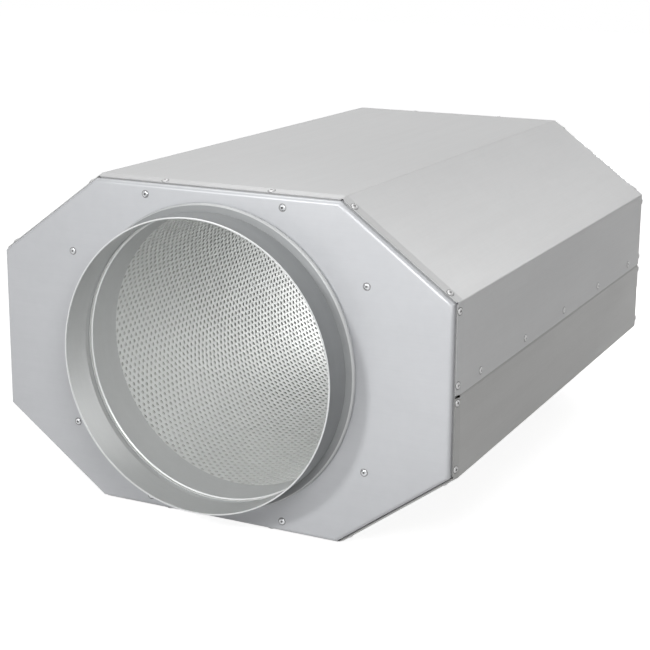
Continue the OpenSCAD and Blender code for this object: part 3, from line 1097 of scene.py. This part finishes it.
class PerforationTree:
    """Geometry Nodes tree that lays staggered cells of sheet and rolls them into a tube."""

    # Distance below which the points of neighbouring cells become one
    SEAM = 0.02 * MM

    def __init__(self) -> None:
        """Opens the tree and works out what its branches share."""
        self.net, self.get, self.end = open_group("perforation", TreeKind.GEOMETRY, {
            "Cell": "Object", "Rows": "Int", "Cells": "Int", "Row Pitch": "Float",
            "Cell Pitch": "Float", "Margin": "Float", "Radius": "Float", "Turn": "Float",
            "Sheet": "Material"}, {"Geometry": "Geometry"})
        net, get = self.net, self.get
        place = net.out("GeometryNodeInputPosition")
        self.across, self.along, _ = net.put("ShaderNodeSeparateXYZ", {0: place}).outputs
        self.wide = net.times(get["Rows"], get["Row Pitch"])
        self.long = net.times(get["Cells"], get["Cell Pitch"])
        self.half_long = net.times(self.long, 0.5)
        self.half_cell = net.times(get["Cell Pitch"], 0.5)
        self.short_end = net.minus(self.half_long, net.times(get["Cell Pitch"], 0.25))
        from_side = net.plus(self.across, net.times(self.wide, 0.5))
        row = net.math("FLOOR", net.math("DIVIDE", from_side, get["Row Pitch"]))
        self.odd = net.math("MODULO", row, 2.0)

    def cells(self) -> bpy.types.NodeSocket:
        """Lays cells on a grid whose odd rows are moved on by half a cell.

        Returns:
            The cells' socket.
        """
        net, get = self.net, self.get
        grid = net.out("GeometryNodeMeshGrid", {
            "Size X": net.minus(self.wide, get["Row Pitch"]),
            "Size Y": net.minus(self.long, get["Cell Pitch"]),
            "Vertices X": get["Rows"], "Vertices Y": get["Cells"]})
        shift = net.out("ShaderNodeCombineXYZ", {1: net.times(self.odd, self.half_cell)})
        staggered = net.out("GeometryNodeSetPosition", {"Geometry": grid, "Offset": shift})
        past = net.math("GREATER_THAN", self.along, self.short_end)
        kept = net.out("GeometryNodeDeleteGeometry", {
            "Geometry": staggered, "Selection": past}, domain="POINT")
        cell = net.put("GeometryNodeObjectInfo", {"Object": get["Cell"]}).outputs["Geometry"]
        return net.out("GeometryNodeInstanceOnPoints", {"Points": kept, "Instance": cell})

    def strips(self) -> list[bpy.types.NodeSocket]:
        """Closes both ends by half cells where odd rows stop short, and by plain margins.

        Returns:
            The strips' sockets.
        """
        net, get = self.net, self.get
        even = net.math("LESS_THAN", self.odd, 0.5)
        beyond = net.plus(self.half_long, net.times(get["Margin"], 0.5))
        made = []
        for side in End:
            for depth, middle, gapped in ((self.half_cell, self.short_end, True),
                                          (get["Margin"], beyond, False)):
                strip = net.out("GeometryNodeMeshGrid", {
                    "Size X": self.wide, "Size Y": depth,
                    "Vertices X": net.plus(get["Rows"], 1.0), "Vertices Y": 2})
                if gapped:
                    strip = net.out("GeometryNodeDeleteGeometry", {
                        "Geometry": strip, "Selection": even}, domain="FACE")
                move = net.out("ShaderNodeCombineXYZ", {
                    1: net.times(middle, float(side.value))})
                made.append(net.out("GeometryNodeTransform", {
                    "Geometry": strip, "Translation": move}))
        return made

    def build(self) -> bpy.types.NodeTree:
        """Joins cells and strips into one sheet, rolls it and gives it its finish.

        Returns:
            The tree, with the sheet's sizes as named inputs.
        """
        net, get = self.net, self.get
        join = net.put("GeometryNodeJoinGeometry")
        for branch in (*self.strips(), self.cells()):
            net.feed(join, {0: branch})
        real = net.out("GeometryNodeRealizeInstances", {"Geometry": join.outputs[0]})
        whole = net.out("GeometryNodeMergeByDistance", {"Geometry": real, "Distance": self.SEAM})
        angle = net.plus(net.math("DIVIDE", self.across, get["Radius"]), get["Turn"])
        rolled = net.out("ShaderNodeCombineXYZ", {
            0: net.times(net.math("SINE", angle), get["Radius"]), 1: self.along,
            2: net.times(net.math("COSINE", angle), get["Radius"])})
        bent = net.out("GeometryNodeSetPosition", {"Geometry": whole, "Position": rolled})
        clad = net.out("GeometryNodeSetMaterial", {"Geometry": bent, "Material": get["Sheet"]})
        net.feed(self.end, {0: clad})
        return net.tree


@dataclass
class PerforatedTube:
    """Tube of perforated sheet, made in three sectors that meet edge to edge."""

    radius: float = 157.2 * MM
    sheet: float = 0.8 * MM
    half_length: float = 343.7 * MM
    rows: int = 152
    sectors: tuple[int, ...] = (52, 50, 50)
    cells: int = 67
    cell_pitch: float = 8.94 * MM
    hole: float = 4.6 * MM
    hole_sides: int = 8
    # Corners of a cell's faces: numbers on its outline, then on its hole
    faces: tuple[tuple[tuple[int, ...], tuple[int, ...]], ...] = (
        ((0, 1), (0, 7)), ((1, 2), (1, 0)), ((3, 4), (4, 3)), ((4, 5), (5, 4)), ((2, 3), (2,)),
        ((2,), (2, 1)), ((3,), (3, 2)), ((5, 0), (6,)), ((5,), (6, 5)), ((0,), (7, 6)))

    def row_pitch(self) -> float:
        """Gives the distance between rows round the tube."""
        return FULL_TURN * self.radius / self.rows

    def cell(self) -> bpy.types.Object:
        """Builds one flat cell of the sheet round one hole.

        Returns:
            A scratch object that the tree repeats; its outline also has the two points
            where the staggered cells of the next rows meet it.
        """
        shape = bmesh.new()
        u, v, r = self.row_pitch() / 2, self.cell_pitch / 2, self.hole / 2
        outline = [shape.verts.new((x, y, 0.0)) for x, y in
                   ((u, -v), (u, 0.0), (u, v), (-u, v), (-u, 0.0), (-u, -v))]
        turns = [FULL_TURN * k / self.hole_sides for k in range(self.hole_sides)]
        ring = [shape.verts.new((r * math.cos(a), r * math.sin(a), 0.0)) for a in turns]
        for outer, inner in self.faces:
            shape.faces.new([outline[k] for k in outer] + [ring[k] for k in inner])
        return put_shape("tube_cell", shape)

    def build(self, finishes: Finishes) -> None:
        """Builds the sectors; each becomes a plain mesh that stands for the CAD tube.

        Args:
            finishes: where the sheet's zinc comes from.
        """
        cell, tree, first = self.cell(), PerforationTree().build(), 0
        for number, rows in enumerate(self.sectors, 1):
            sector = put_object(f"perforated_tube_{number}", bpy.data.meshes.new("sector"))
            grow(sector, tree, {
                "Cell": cell, "Rows": rows, "Cells": self.cells, "Row Pitch": self.row_pitch(),
                "Cell Pitch": self.cell_pitch, "Radius": self.radius,
                "Margin": self.half_length - self.cells * self.cell_pitch / 2,
                "Turn": FULL_TURN * (first + rows / 2) / self.rows,
                "Sheet": finishes["tube_zinc"]})
            thicken(sector, self.sheet)
            hand_over(settle(sector), "tube_sheet", "perforated_tube")
            first += rows
        bpy.data.objects.remove(cell)


@dataclass
class SoundFilling:
    """Lapped fleece round the tube and lumpy wool slabs between it and the casing."""

    fleece_radius: float = 158.25 * MM
    fleece_thick: float = 0.42 * MM
    fleece_half: float = 323.7 * MM
    # Lap in radians past a full turn, and rise of the wrap in a turn
    lap: float = 0.13
    climb: float = 0.5 * MM
    across: int = 204
    along: int = 40
    # Wool: fineness of its mesh, least gap to its block, height and scale of its lumps
    voxel: float = 7.0 * MM
    shrink: float = 1.6 * MM
    lump: float = 1.3 * MM
    fine_lump: float = 0.65 * MM
    lump_scale: float = 28.0
    fine_scale: float = 90.0
    # Length of a slab, and the soft groove where two slabs meet
    slab: float = 163.6 * MM
    groove_depth: float = 2.86 * MM
    groove_width: float = 5.6 * MM

    def wrap(self, finishes: Finishes) -> None:
        """Builds the fleece as one sheet that laps over its own edge.

        Args:
            finishes: where the fleece's fibre comes from.
        """
        turn = FULL_TURN + self.lap
        stations = [self.fleece_half * (2.0 * j / self.along - 1.0) for j in range(self.along + 1)]
        shape = bmesh.new()
        rows = []
        for i in range(self.across + 1):
            a = turn * i / self.across
            r = self.fleece_radius + self.climb * a / FULL_TURN
            rows.append([shape.verts.new((r * math.sin(a), y, r * math.cos(a)))
                         for y in stations])
        for row, after in zip(rows, rows[1:]):
            for j in range(self.along):
                shape.faces.new((row[j], after[j], after[j + 1], row[j + 1]))
        wrap = put_shape("fleece_lapped_wrap", shape)
        wrap.data.materials.append(finishes["fleece_fibre"])
        thicken(wrap, self.fleece_thick)
        settle(wrap)
        hand_over(wrap, "fleece", "fleece_wrap")

    def dent(self, p: Vector) -> float:
        """Gives how far the wool's surface lies inside its CAD block.

        Args:
            p: the point on the block.

        Returns:
            The depth, with lumps and the groove between slabs.
        """
        nearest = abs((p.y / self.slab + 0.5) % 1.0 - 0.5) * self.slab
        coarse, fine = (0.5 + 0.5 * noise.noise(p * scale)
                        for scale in (self.lump_scale, self.fine_scale))
        groove = math.exp(-(nearest / self.groove_width) ** 2)
        return (self.shrink + self.lump * coarse + self.fine_lump * fine
                + self.groove_depth * groove)

    def slabs(self, half: Half, finishes: Finishes) -> None:
        """Builds one half of the wool from its CAD block, remeshed, shrunk and lumpy.

        Args:
            half: half of the casing.
            finishes: where the wool's fibre comes from.
        """
        node = f"{half.value}_wool_infill"
        wool = put_shape(f"{half.value}_wool_slabs", merged_shape(node))
        cut = wool.modifiers.new("cut", "REMESH")
        cut.mode, cut.voxel_size = "VOXEL", self.voxel
        mesh = settle(wool).data
        moves = [vert.co - vert.normal * self.dent(vert.co) for vert in mesh.vertices]
        for vert, move in zip(mesh.vertices, moves):
            vert.co = move
        mesh.materials.clear()
        mesh.materials.append(finishes["wool_fibre"])
        hand_over(wool, "wool", node)

    def build(self, finishes: Finishes) -> None:
        """Builds the fleece and both halves of the wool.

        Args:
            finishes: where the fibres come from.
        """
        self.wrap(finishes)
        for half in Half:
            self.slabs(half, finishes)


class RivetTree:
    """Geometry Nodes tree that sets a part at each point along its outward direction."""

    # Numbers of the Random Value node's sockets
    VECTOR_LOW, VECTOR_HIGH, FLOAT_LOW, FLOAT_HIGH, FLOAT_RESULT = 0, 1, 2, 3, 1
    # Number of the Vector Math node's input for a plain factor
    FACTOR = 3

    def build(self) -> bpy.types.NodeTree:
        """Builds the tree.

        Returns:
            The tree, with recess, its unevenness, tilt and seed as named inputs.
        """
        net, get, end = open_group("rivet_setting", TreeKind.GEOMETRY, {
            "Geometry": "Geometry", "Part": "Object", "Recess": "Float", "Uneven": "Float",
            "Tilt": "Float", "Seed": "Int", "Metal": "Material"}, {"Geometry": "Geometry"})
        outward = net.out("GeometryNodeInputNamedAttribute", {"Name": "outward"},
                          data_type="FLOAT_VECTOR")
        share = net.put("FunctionNodeRandomValue", {
            self.FLOAT_LOW: net.minus(1.0, get["Uneven"]),
            self.FLOAT_HIGH: net.plus(1.0, get["Uneven"]), "Seed": get["Seed"],
        }, data_type="FLOAT").outputs[self.FLOAT_RESULT]
        depth = net.times(share, get["Recess"])
        back = net.vector("SCALE", {0: outward, self.FACTOR: net.times(depth, -1.0)})
        sunk = net.out("GeometryNodeSetPosition", {"Geometry": get["Geometry"], "Offset": back})
        lean = net.out("FunctionNodeRandomValue", {
            self.VECTOR_LOW: (-1.0, -1.0, -1.0), self.VECTOR_HIGH: (1.0, 1.0, 1.0),
            "Seed": get["Seed"]}, data_type="FLOAT_VECTOR")
        nudge = net.vector("SCALE", {0: lean, self.FACTOR: get["Tilt"]})
        aim = net.vector("ADD", {0: outward, 1: nudge})
        facing = net.out("FunctionNodeAlignRotationToVector", {"Vector": aim}, axis="Z")
        part = net.put("GeometryNodeObjectInfo", {"Object": get["Part"]}).outputs["Geometry"]
        parts = net.out("GeometryNodeInstanceOnPoints", {
            "Points": sunk, "Instance": part, "Rotation": facing})
        real = net.out("GeometryNodeRealizeInstances", {"Geometry": parts})
        clad = net.out("GeometryNodeSetMaterial", {"Geometry": real, "Material": get["Metal"]})
        net.feed(end, {0: clad})
        return net.tree


@dataclass
class BlindRivets:
    """Set rivets, each with a broken stem in its core and a dark disc under its head; the stem's
    near-black and the disc's rim are painted shade.
    """

    groups: tuple[str, ...] = (
        "front_face_rivets", "rear_face_rivets",
        "front_upper_rim_rivets", "front_lower_rim_rivets",
        "rear_upper_rim_rivets", "rear_lower_rim_rivets",
        "right_seam_rivets", "left_seam_rivets")
    cad_head: float = 0.9 * MM
    seed: int = 7
    sides: int = 20
    sharp: float = 50.0
    # Head: the dome's points are shares of its radius and height
    head_radius: float = 3.5 * MM
    head_height: float = 1.2 * MM
    head_sink: float = 0.4 * MM
    head_edge: float = 0.1 * MM
    head_tilt: float = 0.03
    dome: tuple[tuple[float, float], ...] = ((0.97, 0.35), (0.84, 0.68), (0.66, 0.92))
    core: float = 1.35 * MM
    core_floor: float = 0.15 * MM
    # Stem: the torn top's points are shares of its radius
    stem_share: float = 0.94
    stem_length: float = 0.2 * MM
    stem_uneven: float = 0.15
    torn: tuple[tuple[float, float], ...] = (
        (1.0, -0.16), (0.8, 0.0), (0.45, -0.12), (0.0, 0.1))
    recess: float = 0.75 * MM
    # Dark disc under the head, whose rim is painted shade
    seat_radius: float = 4.4 * MM
    seat_height: float = 0.12 * MM
    seat_sink: float = 0.3 * MM

    def axes(self, group: str) -> list[tuple[Vector, Vector]]:
        """Finds where the rivets of a group sit.

        Args:
            group: name of the CAD node with the rivets.

        Returns:
            Top of the head and outward direction of each rivet.
        """
        shape = merged_shape(group)
        left, found = set(shape.verts), []
        while left:
            front = [left.pop()]
            island = []
            while front:
                vert = front.pop()
                island.append(tuple(vert.co))
                near = {e.other_vert(vert) for e in vert.link_edges} & left
                left -= near
                front.extend(near)
            found.append(self.axis(np.array(island)))
        shape.free()
        return sorted(found, key=lambda f: tuple(round(x, 5) for x in f[0]))

    def axis(self, points: np.ndarray) -> tuple[Vector, Vector]:
        """Finds one rivet's head and direction from its points.

        Args:
            points: the rivet's points, one a row.

        Returns:
            Top of the head and outward direction.
        """
        middle = points.mean(0)
        size, ways = np.linalg.eigh(np.cov((points - middle).T))
        odd = int(np.argmax([abs(size[k] - np.delete(size, k).mean()) for k in range(3)]))
        way = ways[:, odd]
        along = (points - middle) @ way
        spread = np.linalg.norm((points - middle) - np.outer(along, way), axis=1)
        if along[int(np.argmax(spread))] < 0.0:
            way, along = -way, -along
        return Vector(middle + way * along.max()), Vector(way)

    def turned(self, name: str, profile: list[tuple[float, float]]) -> bpy.types.Object:
        """Turns a profile about Z.

        Args:
            name: name of the part.
            profile: radius and height of each point, from axis to axis.

        Returns:
            A scratch object that the tree repeats.
        """
        shape = bmesh.new()
        points = [shape.verts.new((x, 0.0, z)) for x, z in profile]
        for a, b in zip(points, points[1:]):
            shape.edges.new((a, b))
        bmesh.ops.spin(shape, geom=shape.verts[:] + shape.edges[:], cent=(0, 0, 0),
                       axis=(0, 0, 1), dvec=(0, 0, 0), angle=FULL_TURN, steps=self.sides,
                       use_merge=True)
        bmesh.ops.remove_doubles(shape, verts=shape.verts, dist=WELD)
        bmesh.ops.recalc_face_normals(shape, faces=shape.faces)
        return put_shape(name, shape)

    def head(self) -> bpy.types.Object:
        """Builds one domed head with its open core.

        Returns:
            A scratch object, whose origin lies on the sheet.
        """
        r, h, core = self.head_radius, self.head_height, self.core
        return self.turned("rivet_head", [
            (0.0, -self.head_sink), (0.9 * r, -self.head_sink), (r, self.head_edge),
            *((x * r, z * h) for x, z in self.dome), (1.3 * core, h), (core, 0.93 * h),
            (0.95 * core, -self.core_floor), (0.0, -self.core_floor)])

    def stem(self) -> bpy.types.Object:
        """Builds one broken stem.

        Returns:
            A scratch object, with the stem's torn top at its origin.
        """
        r = self.stem_share * self.core
        return self.turned("rivet_stem", [
            (0.0, -self.stem_length), (r, -self.stem_length),
            *((x * r, z * r) for x, z in self.torn)])

    def seat(self) -> bpy.types.Object:
        """Builds one thin dark disc, whose edge shows round the head as painted shade.

        Returns:
            A scratch object, whose origin lies on the sheet.
        """
        r, h = self.seat_radius, self.seat_height
        return self.turned("rivet_seat", [
            (0.0, -self.seat_sink), (r, -self.seat_sink), (0.97 * r, h), (0.0, h)])

    def spread(self, name: str, spots: list[tuple[Vector, Vector]], tree: bpy.types.NodeTree,
               values: dict[str, object]) -> bpy.types.Object:
        """Sets a part at each spot.

        Args:
            name: name of the piece.
            spots: top of the CAD head and outward direction of each rivet.
            tree: the tree that sets the parts.
            values: the tree's inputs by name.

        Returns:
            The piece as a plain mesh.
        """
        mesh = bpy.data.meshes.new(name)
        mesh.from_pydata([tuple(top) for top, _ in spots], [], [])
        ways = mesh.attributes.new("outward", "FLOAT_VECTOR", "POINT")
        for item, (_, way) in zip(ways.data, spots):
            item.vector = way
        piece = put_object(name, mesh)
        grow(piece, tree, values)
        return settle(piece, self.sharp)

    def build(self, finishes: Finishes) -> None:
        """Builds the heads of each group, and for all rivets the stems and the dark discs of
        painted shade.

        Args:
            finishes: where the metals and the painted shade's grey come from.
        """
        head, stem, seat = self.head(), self.stem(), self.seat()
        tree, spots = RivetTree().build(), []
        for number, group in enumerate(self.groups):
            found = self.axes(group)
            metal = "rivet_aluminium" if "face" in group else "casing_rivet_steel"
            heads = self.spread(group.replace("rivets", "rivet_heads"), found, tree, {
                "Part": head, "Recess": self.cad_head, "Uneven": 0.0, "Tilt": self.head_tilt,
                "Seed": self.seed + number, "Metal": finishes[metal]})
            hand_over(heads, "rivet_metal", group)
            spots += found
        for name, part, recess, uneven, metal in (
                ("rivet_stems", stem, self.recess, self.stem_uneven, "stem_steel"),
                ("rivet_seals", seat, self.cad_head, 0.0, "joint_sealant")):
            hand_over(self.spread(name, spots, tree, {
                "Part": part, "Recess": recess, "Uneven": uneven, "Tilt": 0.0,
                "Seed": self.seed, "Metal": finishes[metal]}), "rivet_metal")
        for part in (head, stem, seat):
            bpy.data.objects.remove(part)
        LOG.info("%d rivets", len(spots))


# Studio


@dataclass(frozen=True)
class SoftPanel:
    """One square soft lamp that looks at a point."""

    name: str
    place: Point
    aim: Point
    size: float
    watts: float

    def hang(self) -> None:
        """Adds the lamp to the scene, unseen by the camera."""
        lamp = bpy.data.lights.new(self.name, "AREA")
        lamp.energy, lamp.size = self.watts, self.size
        obj = put_object(self.name, lamp)
        way = Vector(self.aim) - Vector(self.place)
        obj.rotation_euler = way.to_track_quat("-Z", "Y").to_euler()
        obj.location = self.place
        obj.visible_camera = False


@dataclass
class Studio:
    """White sweep, soft lamps and the camera at the photograph's place."""

    ambient: float = 0.01
    # Floor: it lies just under the part and glows to white between two distances
    floor_size: float = 14.0
    floor_gap: float = 0.4 * MM
    floor_tone: float = 0.50
    floor_glow: float = 0.88
    floor_near: float = 0.7
    floor_far: float = 1.5
    # Camera: lens and sensor in millimetres, its place and its three axes
    lens: float = 84.811
    sensor: float = 36.0
    shift_y: float = -0.0615
    nearest: float = 0.05
    eye: Point = (0.78425, -1.67797, 0.45155)
    right: Point = (0.896608, 0.442754, 0.007907)
    up: Point = (-0.110652, 0.206718, 0.972123)
    back: Point = (0.428777, -0.872489, 0.234336)
    panels: tuple[SoftPanel, ...] = (
        SoftPanel("plate_panel", (0.42, -0.95, 0.48), (0.06, -0.345, 0.06), 0.35, 3.75),
        SoftPanel("left_panel", (-0.50, -1.75, 0.70), (0.0, -0.345, 0.0), 0.2, 10.0),
        SoftPanel("right_panel", (0.75, 1.35, 1.0), (0.25, 0.4, 0.1), 0.9, 6.0),
        SoftPanel("top_panel", (-0.4, 0.2, 1.45), (0.0, 0.1, 0.18), 0.9, 8.8),
        SoftPanel("duct_panel", (0.0, 0.95, 0.0), (0.0, 0.0, 0.0), 0.3, 2.5),
    )

    def shows(self, net: NodeNet) -> bpy.types.NodeSocket:
        """Gives 1 for rays by which the camera sees the sweep, itself or in metal."""
        path = net.put("ShaderNodeLightPath").outputs
        return net.math("MAXIMUM", path["Is Camera Ray"], path["Is Glossy Ray"])

    def surroundings(self) -> None:
        """Makes the world white to the camera and dim to the part."""
        world = bpy.data.worlds.new("studio_white")
        net = open_net(world)
        dim, white = (net.out("ShaderNodeBackground", {"Color": WHITE, "Strength": strength})
                      for strength in (self.ambient, 1.0))
        both = net.out("ShaderNodeMixShader", {0: self.shows(net), 1: dim, 2: white})
        net.put("ShaderNodeOutputWorld", {"Surface": both})
        bpy.context.scene.world = world

    def floor_finish(self) -> bpy.types.Material:
        """Builds the floor's matt tone, which keeps the shadow, and its glow.

        Returns:
            The material.
        """
        material = bpy.data.materials.new("studio_floor")
        net = open_net(material)
        matt = net.out("ShaderNodeBsdfDiffuse", {"Color": (self.floor_tone,) * 3})
        place = net.put("ShaderNodeTexCoord").outputs["Object"]
        away = net.put("ShaderNodeVectorMath", {0: place}, operation="LENGTH").outputs["Value"]
        paler = net.ramp(away, self.floor_near, self.floor_far, self.floor_glow, 1.0)
        glow = net.out("ShaderNodeEmission", {
            "Color": WHITE, "Strength": net.times(self.shows(net), paler)})
        both = net.out("ShaderNodeAddShader", {0: matt, 1: glow})
        net.put("ShaderNodeOutputMaterial", {"Surface": both})
        return material

    def floor(self) -> None:
        """Lays the floor under the part."""
        level = CAD_BOX[0].z - self.floor_gap
        half = self.floor_size / 2
        mesh = bpy.data.meshes.new("studio_floor")
        mesh.from_pydata([(-half, -half, level), (half, -half, level), (half, half, level),
                          (-half, half, level)], [], [(0, 1, 2, 3)])
        mesh.materials.append(self.floor_finish())
        put_object("studio_floor", mesh)

    def camera(self) -> None:
        """Puts the camera where the photograph was taken."""
        data = bpy.data.cameras.new("photo_camera")
        data.lens, data.sensor_width, data.shift_y = self.lens, self.sensor, self.shift_y
        data.clip_start = self.nearest
        obj = put_object("photo_camera", data)
        turn = Matrix((self.right, self.up, self.back)).transposed().to_4x4()
        obj.matrix_world = Matrix.Translation(self.eye) @ turn
        bpy.context.scene.camera = obj

    def build(self) -> None:
        """Sets up camera, sweep, lamps and the plain view transform."""
        self.camera()
        self.surroundings()
        self.floor()
        for panel in self.panels:
            panel.hang()
        bpy.context.scene.view_settings.view_transform = "Standard"


def main() -> None:
    """Builds the dressed attenuator and its studio, in order."""
    logging.basicConfig(level=logging.INFO, format="%(name)s: %(message)s")
    Studio().build()
    finishes = Finishes()
    Casing().dress(finishes)
    MarginCorners().build(finishes)
    EndPlates().build(finishes)
    DuctSpigots().build(finishes)
    BlindRivets().build(finishes)
    PerforatedTube().build(finishes)
    SoundFilling().build(finishes)


if __name__ == "__main__":
    main()
